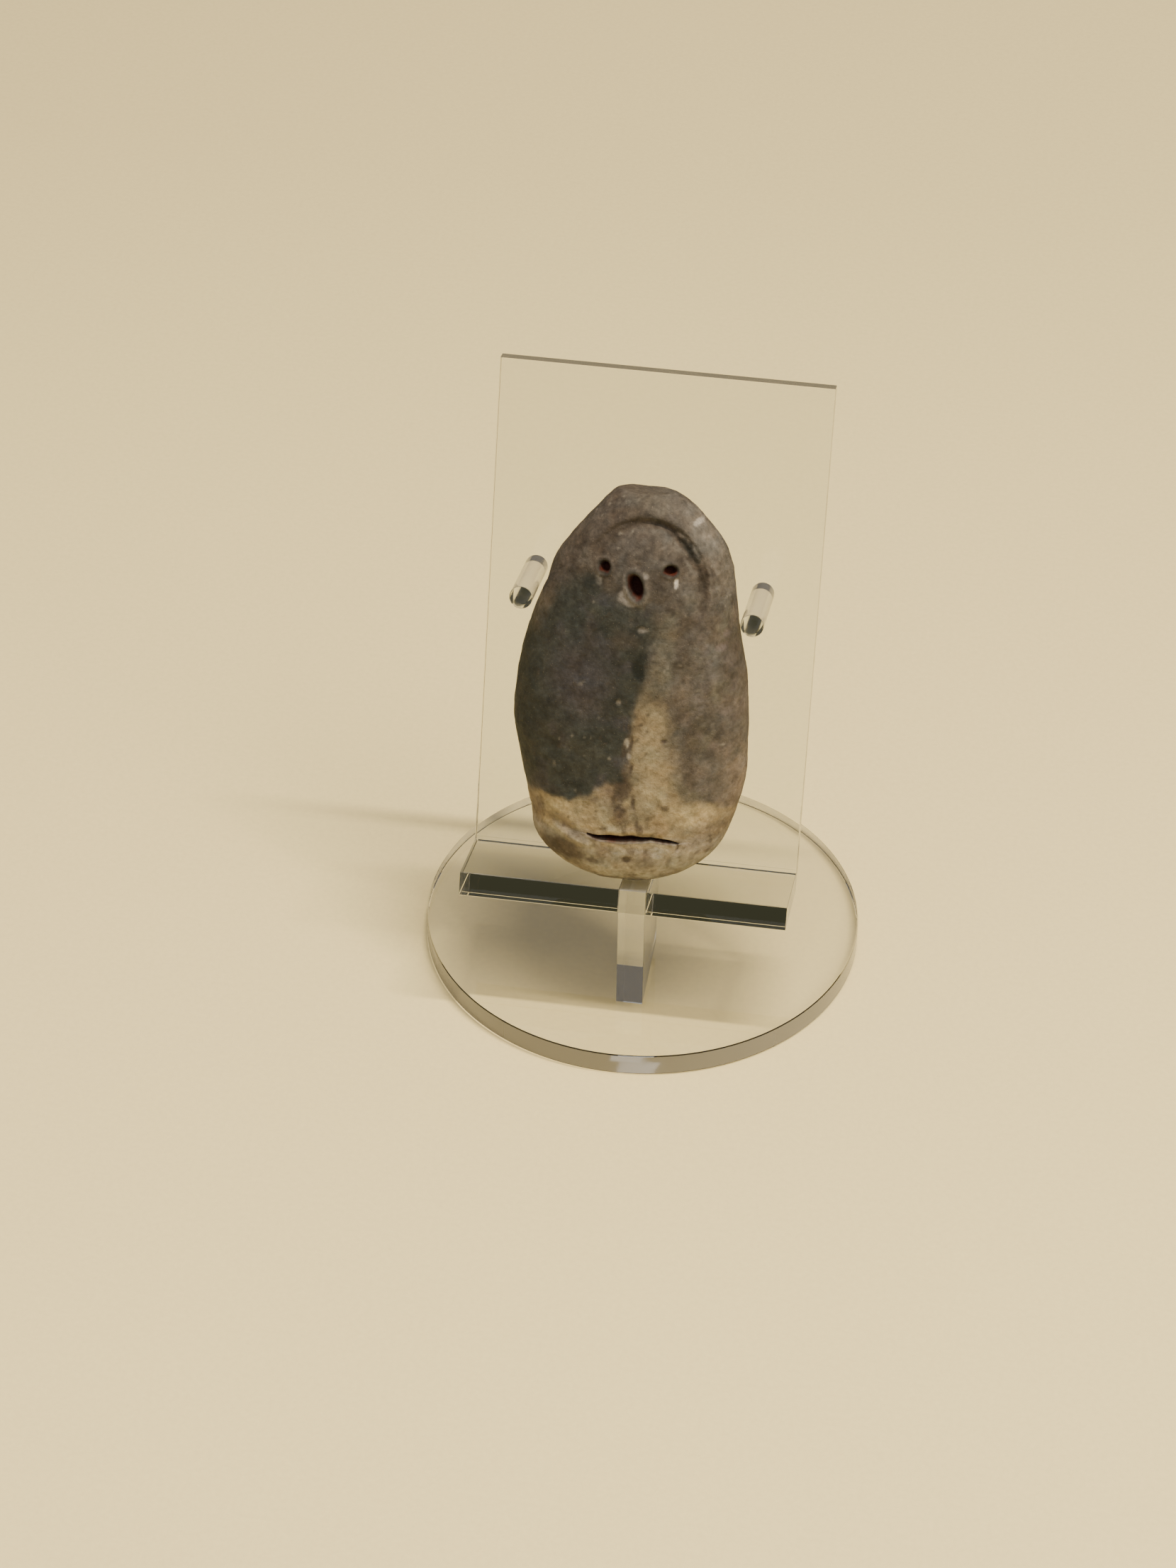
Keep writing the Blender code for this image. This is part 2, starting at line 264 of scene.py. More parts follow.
def cloud(points, cell, seed, octaves=4):
    """Noise with finer and fainter noise on top."""
    total = np.zeros(len(points))
    for octave in range(octaves):
        total += lattice_noise(points, cell / 2 ** octave, seed + octave) / 2 ** octave
    return total / CLOUD_RANGE


def nearest_on(path, x, z):
    """How far each point is from the path, and how far along the path it lies, from 0 to 1."""
    steps = len(path) - 1
    best = np.full(len(x), np.inf)
    along = np.zeros(len(x))
    for index in range(steps):
        (x0, z0), (x1, z1) = path[index], path[index + 1]
        dx, dz = x1 - x0, z1 - z0
        share = np.clip(((x - x0) * dx + (z - z0) * dz) / (dx * dx + dz * dz), 0, 1)
        away = np.hypot(x - x0 - share * dx, z - z0 - share * dz)
        closer = away < best
        best = np.where(closer, away, best)
        along = np.where(closer, (index + share) / steps, along)
    return best, along


def oval(x, z, place, tilt=0.0):
    """How many half sizes each point is from the middle of an oval: 1 on its rim."""
    middle_x, middle_z, half_width, half_height = place
    dx, dz = x - middle_x, z - middle_z
    across = dx * cos(tilt) - dz * sin(tilt)
    up = dx * sin(tilt) + dz * cos(tilt)
    return np.hypot(across / half_width, up / half_height)


# The figurine's form.

def sections_at(places):
    """The sections at places from 0 at the foot to 1 at the crown, on a smooth curve."""
    last = len(SECTIONS) - 1
    index = np.minimum((places * last).astype(int), last - 1)
    f = (places * last - index)[:, None]
    before, start, end, after = (SECTIONS[np.clip(index + k, 0, last)] for k in (-1, 0, 1, 2))
    bend = (2 * before - 5 * start + 4 * end - after) * f ** 2
    twist = (3 * start - before - 3 * end + after) * f ** 3
    return np.clip((2 * start + (end - before) * f + bend + twist) / 2, 0, 1)


def row_places():
    """Where each row of vertices lies between the foot and the crown."""
    fine = np.linspace(0, 1, ROW_SAMPLES)
    at = sections_at(fine)
    length = np.hypot(np.diff(at[:, 0]), np.diff(at[:, 1:].mean(axis=1)))
    height = (at[1:, 0] + at[:-1, 0]) / 2
    density = np.ones(len(height))
    for middle, half, extra in CLOSE_ROWS:
        density += extra * np.exp(-((height - middle) / half) ** 4)
    total = np.concatenate([[0], np.cumsum(length * density)])
    shares = np.linspace(0, 1, ROWS + 2)[1:-1]
    return np.interp(shares, total / total[-1], fine)


def column_turns():
    """The angle of each column round the figurine, closer together on its front."""
    even = np.arange(COLUMNS) * 2 * pi / COLUMNS
    return even - FRONT_DENSITY * np.sin(even) - pi / 2


def body_grid():
    """The plain egg: a point for each row and column, as shares of the height."""
    height, left, right, front, back = (v[:, None] for v in sections_at(row_places()).T)
    across, out = np.cos(column_turns()), np.sin(column_turns())
    power = np.abs(across) ** SQUARENESS + np.abs(out) ** SQUARENESS
    reach = power ** (-1 / SQUARENESS)
    x = across * reach * np.where(across > 0, right, left)
    y = out * reach * np.where(out > 0, back, front)
    return np.stack([x, y, np.broadcast_to(height, x.shape)], axis=-1)


def grid_normals(grid):
    """The outward direction at each point of the grid."""
    up = np.gradient(grid, axis=0)
    round_ = np.roll(grid, -1, axis=1) - np.roll(grid, 1, axis=1)
    normal = np.cross(round_, up)
    return normal / np.maximum(np.linalg.norm(normal, axis=-1, keepdims=True), 1e-12)


def hood_and_groove(x, z):
    """How far the front stands out round the face."""
    middle_x, middle_z, half_width, half_height = FACE
    dx = (x - middle_x) / half_width
    dz = (z - middle_z) / half_height
    out = np.maximum(np.hypot(dx, dz), 0.001)
    strength = np.clip(0.45 + 0.55 * dz / out + 0.25 * dx / out, 0, 1)
    spread = np.where(out > 1, GROOVE_OUTER, GROOVE_INNER)
    groove = GROOVE_DEPTH * bell(out, 1, spread)
    hood = HOOD_RISE * bell(out, HOOD_RIDGE, HOOD_SPREAD)
    return strength * (hood - groove)


def slit_height(x):
    """The height of the slit's middle line."""
    return np.interp(x, *zip(*SLIT_PATH))


def shelf(x, z):
    """The lip under the slit: a step at the slit that fades out towards the foot."""
    below = slit_height(x) - z
    middle = (SLIT_PATH[0][0] + SLIT_PATH[-1][0]) / 2
    half_length = (SLIT_PATH[-1][0] - SLIT_PATH[0][0]) / 2
    along = (x - middle) / half_length
    share = np.clip(1 - below / SHELF_HEIGHT, 0, 1) * (below > 0)
    return SHELF_RISE * share ** 2 * np.exp(-(along ** 4))


def pressed_eye(x, z, place):
    """A hole poked with a blunt stick, with a slightly raised rim."""
    out = oval(x, z, place)
    return HOLE_RIM * bell(out, 1.45, 0.28) - EYE_DEPTH * fall(out, *HOLE_WALL)


def mouth_oval(x, z, grow=0):
    """How many half sizes each point is from the mouth's middle, were it larger all round."""
    middle_x, middle_z, half_width, half_height = MOUTH
    return oval(x, z, (middle_x, middle_z, half_width + grow, half_height + grow), MOUTH_TILT)


def mouth_relief(x, z):
    """The open mouth in its ring of clay."""
    away = (mouth_oval(x, z, LIP_THICKNESS / 2) - 1) * MOUTH[2]
    return LIP_RISE * bell(away, 0, LIP_SPREAD) - MOUTH_DEPTH * fall(mouth_oval(x, z), *MOUTH_WALL)


def line_relief(x, z, path, depth, half_width, ends):
    """A scratched line that fades at its ends."""
    away, along = nearest_on(path, x, z)
    strength = fade(along, 0, ends) * fade(1 - along, 0, ends)
    return -depth * strength * bell(away, 0, half_width)


def slit_opening(along):
    """Half the slit's height along its path: thickest left of its middle, thin at its ends."""
    return SLIT_HALF_HEIGHT * np.interp(along, *SLIT_SWELL)


def above_slit(x, z, rise):
    """How far each point is from the slit's middle part, moved up by a rise."""
    away, _ = nearest_on([(px, pz + rise) for px, pz in SLIT_PATH[FOLD_SPAN]], x, z)
    return away


def slit_relief(x, z):
    """The slit with its notch, the fold over it, and the torn crease and ridge beside it."""
    away, along = nearest_on(SLIT_PATH, x, z)
    deepening = 0.3 + 0.7 * fade(along, 0, 0.2)
    total = -SLIT_DEPTH * deepening * fall(away / slit_opening(along), *SLIT_WALL)
    total += FOLD_RISE * bell(above_slit(x, z, 0.020), 0, 0.009)
    for line in SLIT_LINES:
        total += line_relief(x, z, *line)
    return total


def rim_distance(x, z):
    """How far outside the hood's inner rim each point lies, and the rim's strength there."""
    rim_x, rim_z = (np.array(HOOD_LINE) - HOOD_MIDDLE).T
    dx, dz = x - HOOD_MIDDLE[0], z - HOOD_MIDDLE[1]
    turn = np.arctan2(dx, dz)
    reach = np.interp(turn, np.arctan2(rim_x, rim_z), np.hypot(rim_x, rim_z))
    return np.hypot(dx, dz) - reach, np.interp(turn, *RIM_STRENGTH)


def rim_relief(points, x, z):
    """The face's recess under the hood's rim: a sharp wall outside and a slow rise inside."""
    outside, strength = rim_distance(x, z)
    outside = outside + 0.005 * cloud(points, 0.035, 27) + 0.003 * cloud(points, 0.015, 29)
    wall = fall(outside, -RIM_WALL, RIM_WALL)
    inside = bell(np.minimum(outside, 0), 0, RIM_INSIDE)
    bulge = RIM_BULGE * bell(outside, 0.018, 0.012)
    return strength * (bulge - RIM_DEPTH * wall * inside)


def fine_relief(points, x, z, facing):
    """Everything carved or worn on the front, and the hand-shaped unevenness all round."""
    front = slit_relief(x, z) + mouth_relief(x, z) + rim_relief(points, x, z)
    front += pressed_eye(x, z, LEFT_EYE)
    front += pressed_eye(x, z, RIGHT_EYE)
    front += line_relief(x, z, *SEAM) * fade(cloud(points, 0.030, 25), -0.5, 0.3)
    front += chips(x, z)
    waves = WAVE_HEIGHT * cloud(points, 0.15, 11) + RIPPLE_HEIGHT * cloud(points, 0.040, 21)
    grain = GRAIN_HEIGHT * cloud(points, 0.014, 31, octaves=2)
    return facing * front + waves + grain


# Small shallow chips: place, half width, half height and depth.
CHIPS = (
    (0.026, 0.691, 0.015, 0.007, 0.0028),
    (0.218, 0.648, 0.013, 0.011, 0.0026),
    (0.224, 0.680, 0.008, 0.010, 0.0018),
    (0.100, 0.808, 0.007, 0.013, 0.0018),
    (0.136, 0.944, 0.012, 0.007, 0.0018),
    (0.025, 0.585, 0.014, 0.022, 0.0022),
    (0.012, 0.385, 0.012, 0.030, 0.0022),
    (-0.084, 0.800, 0.009, 0.012, 0.0016),
    (0.160, 0.800, 0.010, 0.026, 0.0020),
    (0.165, 0.745, 0.010, 0.018, 0.0016),
    (-0.017, 0.501, 0.008, 0.008, 0.0014),
    (0.129, 0.440, 0.007, 0.008, 0.0018),
    (0.098, 0.411, 0.008, 0.007, 0.0018),
    (0.255, 0.857, 0.014, 0.012, 0.0030),
    (0.024, 0.089, 0.014, 0.010, 0.0020),
    (-0.060, 0.075, 0.016, 0.012, 0.0016),
)


def chips(x, z):
    total = np.zeros(len(x))
    for *place, depth in CHIPS:
        total -= depth * fall(oval(x, z, place), 0.4, 1.3)
    return total


def rest_point(y, z):
    """Turns a point of the tilted rest, as y and z from its own corner, into the stand's y and z."""
    along = y + LEDGE_DEPTH
    above = z + LEDGE_THICKNESS
    return (
        UPRIGHT_FRONT + along * cos(LEAN) + above * sin(LEAN),
        FOOT_THICKNESS + UPRIGHT_HEIGHT - along * sin(LEAN) + above * cos(LEAN),
    )


def rest_matrix():
    """The upper edge of the ledge's rear, leaning with the ledge and the plate."""
    corner = Vector((REST_X, *rest_point(0, 0)))
    return Matrix.Translation(corner) @ Matrix.Rotation(-LEAN, 4, "X")


def figure_matrix():
    """The middle of the figurine's foot, on the ledge and against the plate."""
    back = SECTIONS[:, 4].max() * FIGURE_HEIGHT
    foot = Vector((FIGURE_X, -PLATE_THICKNESS - JOINT_GAP - back, JOINT_GAP))
    return rest_matrix() @ Matrix.Translation(foot)


def grid_faces():
    """Quads between the rows, and a fan at the foot and at the crown."""
    row = np.arange(ROWS - 1)[:, None] * COLUMNS
    column = np.arange(COLUMNS)
    after = (column + 1) % COLUMNS
    quads = np.stack([
        row + column, row + after, row + COLUMNS + after, row + COLUMNS + column,
    ], axis=-1).reshape(-1, 4)
    foot = ROWS * COLUMNS
    top_row = (ROWS - 1) * COLUMNS
    low = np.stack([after, column, np.full(COLUMNS, foot)], axis=-1)
    high = np.stack([top_row + column, top_row + after, np.full(COLUMNS, foot + 1)], axis=-1)
    return quads.tolist() + low.tolist() + high.tolist()


def figurine_points():
    """All points of the figurine as shares of its height, with how far each faces front."""
    grid = body_grid()
    normals = grid_normals(grid).reshape(-1, 3)
    points = grid.reshape(-1, 3)
    facing = np.clip(-normals[:, 1], 0, 1) ** 0.5
    x, z = points[:, 0], points[:, 2]
    front = np.clip(-np.tile(np.sin(column_turns()), ROWS), 0, 1) ** 0.5
    points[:, 1] -= front * (hood_and_groove(x, z) + shelf(x, z))
    raised = points + normals * fine_relief(points, x, z, facing)[:, None]
    ends = np.array([(0, 0, 0), (0, 0, 1.0)])
    return np.concatenate([points, ends]), np.concatenate([raised, ends]), np.append(facing, [0, 0])


# The figurine's paint. Edges of the painted regions: places along one axis, and the edge's
# place on the other at each.
DARK_RIGHT = (
    (0.28, 0.41, 0.49, 0.535, 0.56, 0.62, 0.67, 0.72, 0.76),
    (0.015, 0.014, 0.020, 0.037, 0.052, 0.048, 0.060, 0.066, 0.060),
)
DARK_LOW = (
    (-0.28, -0.23, -0.20, -0.168, -0.12, -0.074, -0.055, -0.028, 0.03),
    (0.195, 0.222, 0.235, 0.238, 0.234, 0.262, 0.280, 0.292, 0.305),
)
DARK_HIGH = (
    (-0.30, -0.235, -0.20, -0.185, -0.142, -0.106, -0.080, -0.039, 0.021, 0.054, 0.075),
    (0.600, 0.660, 0.714, 0.751, 0.805, 0.812, 0.792, 0.768, 0.759, 0.756, 0.720),
)
STREAK_LEFT = ((0.15, 0.31, 0.40, 0.52), (0.030, 0.022, 0.020, 0.022))
STREAK_RIGHT = (
    (0.15, 0.205, 0.235, 0.275, 0.313, 0.385, 0.458, 0.520),
    (0.270, 0.215, 0.165, 0.130, 0.122, 0.118, 0.096, 0.060),
)
STREAK_TOP = 0.535
BAND_TOP = (
    (-0.26, -0.20, -0.168, -0.12, -0.074, -0.05, 0.00, 0.10, 0.16, 0.20, 0.24, 0.28),
    (0.198, 0.238, 0.242, 0.238, 0.264, 0.280, 0.300, 0.275, 0.230, 0.206, 0.176, 0.150),
)
DARK_SOFTNESS = ((0.30, 0.50, 0.62, 0.80), (0.010, 0.012, 0.030, 0.045))

# Oval patches: colour, amount, middle and half sizes.
BODY_SPOTS = (
    ("umber", 0.70, 0.128, 0.680, 0.034, 0.045),
    ("umber", 0.35, 0.190, 0.440, 0.080, 0.090),
)
HOOD_SPOTS = (
    ("umber", 0.50, -0.027, 0.960, 0.055, 0.018),
    ("pale", 0.35, 0.085, 0.895, 0.045, 0.028),
    ("pale", 0.30, -0.125, 0.845, 0.025, 0.030),
    ("umber", 0.75, -0.082, 0.790, 0.050, 0.038),
    ("pale", 0.30, 0.130, 0.800, 0.014, 0.075),
)
WARM_SPOTS = (
    ("ochre", 0.60, -0.160, 0.212, 0.060, 0.026),
    ("ochre", 0.95, 0.190, 0.212, 0.085, 0.034),
    ("ochre", 0.15, 0.070, 0.440, 0.030, 0.110),
    ("ochre", 0.30, 0.095, 0.290, 0.045, 0.070),
)
DARK_SPOTS = (
    ("soot", 0.30, 0.025, 0.630, 0.028, 0.060),
    ("brown", 0.50, -0.010, 0.655, 0.035, 0.030),
)
BASE_SPOTS = (
    ("crack", 0.95, -0.145, 0.085, 0.080, 0.048),
    ("clay", 0.60, 0.225, 0.165, 0.060, 0.060),
    ("clay", 0.70, -0.215, 0.180, 0.035, 0.060),
)

# Single marks, in the same way.
MARKS = (
    ("chalk", 0.95, 0.100, 0.808, 0.006, 0.013),
    ("pale", 0.80, -0.088, 0.800, 0.010, 0.014),
    ("pale", 0.90, 0.025, 0.827, 0.008, 0.007),
    ("pale", 0.75, 0.030, 0.690, 0.014, 0.007),
    ("bone", 0.75, -0.024, 0.766, 0.018, 0.018),
    ("bone", 0.70, -0.004, 0.752, 0.022, 0.009),
    ("bone", 0.60, 0.028, 0.822, 0.007, 0.007),
    ("pink", 0.95, 0.218, 0.648, 0.017, 0.012),
    ("pink", 0.85, 0.224, 0.680, 0.010, 0.011),
    ("pink", 0.80, 0.238, 0.488, 0.016, 0.012),
    ("pale", 0.95, -0.017, 0.501, 0.008, 0.009),
    ("chalk", 0.50, 0.136, 0.944, 0.012, 0.007),
    ("soot", 0.98, 0.025, 0.585, 0.018, 0.028),
    ("soot", 0.70, 0.033, 0.620, 0.014, 0.020),
    ("soot", 0.45, 0.126, 0.435, 0.008, 0.009),
    # The next two marks are painted shade in the groove under the hood's rim at the upper right.
    ("soot", 0.60, 0.105, 0.905, 0.012, 0.008),
    ("soot", 0.50, 0.146, 0.860, 0.009, 0.012),
    ("umber", 0.70, -0.060, 0.895, 0.016, 0.008),
    ("crack", 0.95, 0.098, 0.411, 0.010, 0.007),
    # The next two marks are painted shade along the hood's rim on the right.
    ("umber", 0.85, 0.160, 0.805, 0.010, 0.028),
    ("umber", 0.75, 0.166, 0.745, 0.011, 0.020),
    ("umber", 0.60, 0.064, 0.770, 0.030, 0.014),
    ("soot", 0.55, -0.105, 0.795, 0.022, 0.018),
    ("umber", 0.90, 0.255, 0.857, 0.010, 0.014),
    ("sand", 0.85, 0.008, 0.395, 0.007, 0.014),
    ("sand", 0.70, 0.016, 0.365, 0.006, 0.010),
    ("umber", 0.85, 0.003, 0.378, 0.008, 0.024),
    ("crack", 0.90, 0.024, 0.089, 0.014, 0.010),
    ("crack", 0.75, -0.060, 0.072, 0.018, 0.010),
    ("crack", 0.70, 0.110, 0.235, 0.012, 0.010),
)


class Coat:
    """The paint on the figurine's points, in layers, with its places shifted for uneven edges."""

    def __init__(self, points, shift=0, drift=0):
        self.points = points
        self.x, self.z = points[:, 0], points[:, 2]
        self.uneven = (self.x + shift, self.z + drift)
        self.colour = np.tile(np.array(PALETTE["taupe"]), (len(points), 1))

    def cloud(self, cell, seed, octaves=4):
        return cloud(self.points, cell, seed, octaves)

    def lay(self, name, amount):
        """Lays a palette colour over the paint by an amount for each point."""
        share = np.clip(amount, 0, 1)[:, None]
        self.colour = self.colour * (1 - share) + np.array(PALETTE[name]) * share

    def spot(self, place, low=0.3, high=1.3):
        """An oval patch: 1 in its middle and 0 outside."""
        return fall(oval(*self.uneven, place), low, high)

    def lay_spots(self, spots, weight=1.0):
        for name, amount, *place in spots:
            self.lay(name, amount * weight * self.spot(place))

    def lay_line(self, path, name, amount, half_width):
        """A painted line with soft sides and ends."""
        away, along = nearest_on(path, self.x, self.z)
        ends = fade(along, 0, 0.1) * fade(1 - along, 0, 0.1)
        self.lay(name, amount * ends * fall(away, 0.3 * half_width, 1.3 * half_width))

    def speckle(self):
        """Small dark pits and paler flecks."""
        self.lay("umber", 0.65 * fade(self.cloud(0.014, 161, octaves=2), 0.45, 0.85))
        self.lay("sand", 0.3 * fade(self.cloud(0.016, 171, octaves=2), 0.55, 0.95))

    def mottle(self):
        """Uneven darker and lighter spots over all of it."""
        tone = 1 + 0.28 * self.cloud(0.034, 111) + 0.34 * self.cloud(0.012, 121, octaves=2)
        warmth = 0.09 * self.cloud(0.034, 131)
        tint = np.stack([tone * (1 + warmth), tone, tone * (1 - warmth)], axis=1)
        self.colour = np.clip(self.colour * tint, 0, 1)


def dark_side(x, z):
    """The charcoal area on the left: how far inside its edge each point lies."""
    from_right = np.interp(z, *DARK_RIGHT) - x
    from_low = z - np.interp(x, *DARK_LOW)
    from_high = np.interp(x, *DARK_HIGH) - z
    return np.minimum(np.minimum(from_right, from_low), from_high)


def warm_streak(x, z):
    """The tan streak that widens from the middle down: crisp on its left, soft elsewhere."""
    from_right = np.interp(z, *STREAK_RIGHT) - x
    from_left = x - np.interp(z, *STREAK_LEFT)
    soft = fade(from_right, -0.045, 0.04) * fade(STREAK_TOP - z, -0.03, 0.07)
    return fade(from_left, -0.004, 0.012) * soft


def paint_body(coat):
    """The brown-grey of the right side, with olive, dark and pinkish mottling."""
    x, z = coat.uneven
    coat.lay("olive", 0.8 * fade(coat.cloud(0.045, 81), 0, 0.6))
    coat.lay("umber", 0.65 * fade(coat.cloud(0.028, 83), 0.1, 0.8))
    coat.lay("pink", 0.65 * fade(coat.cloud(0.036, 87), 0.1, 0.8) * fade(x, 0.1, 0.22))
    stripe = fade(x, 0.05, 0.08) * fall(x, 0.098, 0.12) * fade(z, 0.5, 0.56)
    coat.lay("pale", 0.35 * stripe * fall(z, 0.66, 0.72))
    coat.lay("olive", 0.7 * stripe * fall(z, 0.7, 0.75))
    coat.lay_spots(BODY_SPOTS)
    edge = fade(x, 0.215, 0.275)
    coat.lay("pink", 0.45 * edge * fade(z, 0.36, 0.5))
    coat.lay("clay", 0.95 * edge * fall(z, 0.33, 0.42))


def paint_hood(coat):
    """The hood and the face: paler to the right, browner to the left, with painted shade along the
    hood's inner rim.
    """
    x, z = coat.uneven
    outside, strength = rim_distance(x, z)
    head = fade(z, 0.7, 0.8)
    streaks = coat.cloud(0.03, 141)
    coat.lay("face", 0.9 * head)
    coat.lay("pale", 0.22 * head * fade(streaks, 0.1, 0.8))
    coat.lay("umber", 0.45 * head * fade(-streaks, 0.1, 0.8))
    hood = fade(outside, -0.004, 0.008) * head
    coat.lay("brown", 0.75 * hood * fade(-x, -0.02, 0.06))
    coat.lay("crown", 0.7 * hood * coat.spot((0.015, 0.985, 0.07, 0.03)))
    pale = hood * fade(x, 0.06, 0.13) * (0.75 + 0.35 * streaks)
    coat.lay("pale", 0.85 * pale)
    coat.lay_spots(HOOD_SPOTS)
    # Painted shade in the groove under the hood's inner rim: a broken dark line, darkest at the upper
    # right.
    broken = 0.55 + 0.6 * fade(streaks, -0.5, 0.4)
    coat.lay("crack", 0.8 * (strength * streak(outside, -0.004, 0.004, 0.014) * broken))
    deepest = coat.spot((0.128, 0.882, 0.03, 0.03))
    coat.lay("soot", 0.75 * (deepest * streak(outside, -0.003, 0.004, 0.012)))
    # Painted shade along a second, fainter crease outside the rim on the right.
    second = strength * streak(outside, 0.016, 0.003, 0.009)
    coat.lay("brown", 0.75 * (second * coat.spot((0.175, 0.81, 0.03, 0.07))))
    inner = strength * streak(outside, -0.02, 0.002, 0.007) * fade(x, 0, 0.06)
    coat.lay("pale", 0.3 * inner)


def paint_warm(coat, patches):
    """The tan band above the slit and down to the foot, and the streak up from it."""
    x, z = coat.uneven
    band = fade(np.interp(x, *BAND_TOP) - z, -0.004, 0.018)
    coat.lay("tan", 0.97 * band)
    coat.lay("ochre", 0.3 * band)
    coat.lay("clay", 0.6 * band * fade(-coat.cloud(0.03, 181), 0.1, 0.7))
    coat.lay("clay", 0.55 * coat.spot((-0.03, 0.262, 0.04, 0.038)))
    coat.lay("tan", 0.92 * warm_streak(x, z) * (0.92 + 0.25 * patches))
    coat.lay_spots(WARM_SPOTS)
    cracked = coat.spot((0.006, 0.265, 0.034, 0.105), 0.4, 1.2)
    coat.lay("crack", 0.95 * (cracked * fade(coat.cloud(0.022, 191), -0.8, 0.3)))


def paint_dark(coat, patches):
    """The charcoal side, with plum and blackened clouds, and painted shade along its far left edge.
    """
    x, z = coat.uneven
    dark = fade(dark_side(x, z) / np.interp(z, *DARK_SOFTNESS), -0.8, 1.0)
    coat.lay("charcoal", 0.97 * dark)
    coat.lay("plum", dark * 0.95 * coat.spot((-0.115, 0.54, 0.105, 0.12), 0.2, 1.2))
    coat.lay("plum", dark * 0.6 * fade(patches, 0.1, 0.7))
    coat.lay("soot", dark * 0.55 * fade(-patches, 0.2, 0.8))
    coat.lay_spots(DARK_SPOTS, dark)
    # Painted shade: the far left edge of the dark side is darkened further.
    coat.lay("soot", 0.45 * dark * fade(-x, 0.2, 0.26))


def paint_base(coat):
    """The part under the slit, with painted highlights on the slit's lip, the fold over it and the
    ridge, and the crease beside it.
    """
    x, z = coat.uneven
    patches = coat.cloud(0.036, 151)
    flecks = coat.cloud(0.018, 153)
    under = fall(z, 0.135, 0.16)
    coat.lay("sand", 0.9 * under)
    coat.lay("clay", 0.55 * under * fade(patches, -0.2, 0.5))
    coat.lay("crack", 0.48 * under * fade(flecks, 0.15, 0.75))
    coat.lay("bone", 0.4 * under * fade(-patches, 0.1, 0.7) * fade(x, -0.05, 0.05))
    coat.lay_spots(BASE_SPOTS)
    pitted = 0.45 * under * coat.spot((-0.02, 0.1, 0.09, 0.03))
    coat.lay("crack", pitted * fade(-flecks, 0, 0.5))
    # Patchy strength for the painted highlights below.
    patchy_paling = 0.5 + 0.5 * fade(coat.cloud(0.03, 155), -0.4, 0.4)
    # Painted highlight on the slit's lower lip, where it faces the light.
    lip, along = nearest_on(SLIT_PATH, coat.x, coat.z + 0.016)
    lit = fall(lip, 0.003, 0.01) * fade(along, 0, 0.1)
    coat.lay("ochre", 0.3 * lit * patchy_paling)
    # Painted highlight on the fold over the slit.
    over = above_slit(coat.x, coat.z, 0.021)
    coat.lay("ochre", 0.3 * fall(over, 0.003, 0.01) * patchy_paling)
    rough = coat.spot((0.02, 0.175, 0.12, 0.02), 0.4, 1.2) * fade(flecks, -0.1, 0.4)
    coat.lay("crack", 0.75 * rough)
    # Painted highlight on the torn ridge beside the slit.
    ridge, _ = nearest_on(RIDGE_PATH, coat.x, coat.z)
    coat.lay("ochre", 0.35 * fall(ridge, 0.004, 0.016) * patchy_paling)


def paint_details(coat):
    """Single marks, the mouth's paler ring, lines with painted shade in the crease, and the holes and
    the slit filled dark as painted shade.
    """
    x, z = coat.x, coat.z
    ragged = 0.35 * coat.cloud(0.012, 91, octaves=2)
    for name, amount, *place in MARKS:
        coat.lay(name, amount * fall(oval(x, z, place) + ragged, 0.5, 1.2))
    ring = streak(mouth_oval(x, z, LIP_THICKNESS), 0.95, 0.05, 0.35)
    patchy_paling = ring * (1 - 0.85 * fade(x + z, 0.775, 0.82))
    patchy_paling *= 0.6 + 0.5 * fade(coat.cloud(0.02, 203), -0.3, 0.3)
    coat.lay("bone", 0.85 * patchy_paling)
    # Painted shade: the eyes and the mouth are filled dark red-brown inside, with a dark ring round
    # their edges.
    for hole in (oval(x, z, LEFT_EYE), oval(x, z, RIGHT_EYE), mouth_oval(x, z)):
        out = hole + 0.32 * coat.cloud(0.016, 201, octaves=2)
        coat.lay("soot", 0.6 * fall(out, 1.0, 1.6))
        coat.lay("hole", fall(out, 0.7, 1.1))
    broken = fade(coat.cloud(0.03, 25), -0.45, 0.35)
    coat.lay_line(SEAM_PATH, "crack", 0.85 * broken, 0.006)
    # Painted shade along the torn crease.
    coat.lay_line(CREASE_PATH, "crack", 0.4, 0.012)
    coat.lay_line(NOTCH_PATH, "crack", 0.75, 0.0045)
    # Painted shade: the slit is filled dark inside, with a darker edge along it.
    away, along = nearest_on(SLIT_PATH, x, z)
    ragged = away / slit_opening(along) + 0.3 * coat.cloud(0.014, 205, octaves=2)
    coat.lay("crack", 0.7 * fall(ragged, 1.0, 1.7))
    coat.lay("hole", 0.97 * fall(ragged, 0.55, 1.15))


def wander(points, seed):
    """How far the painted edges stray."""
    return 0.014 * cloud(points, 0.08, seed) + 0.006 * cloud(points, 0.018, seed + 10, octaves=2)


def front_coat(points, facing):
    """The front's paint, with painted shade where it turns away from the front."""
    coat = Coat(points, wander(points, 41), wander(points, 61))
    patches = coat.cloud(0.05, 101)
    paint_body(coat)
    paint_hood(coat)
    paint_warm(coat, patches)
    paint_dark(coat, patches)
    paint_base(coat)
    coat.mottle()
    coat.speckle()
    paint_details(coat)
    # Painted shade: darker where the surface turns away from the front.
    coat.lay("umber", 0.45 * fall(facing, 0.05, 0.45))
    return coat.colour


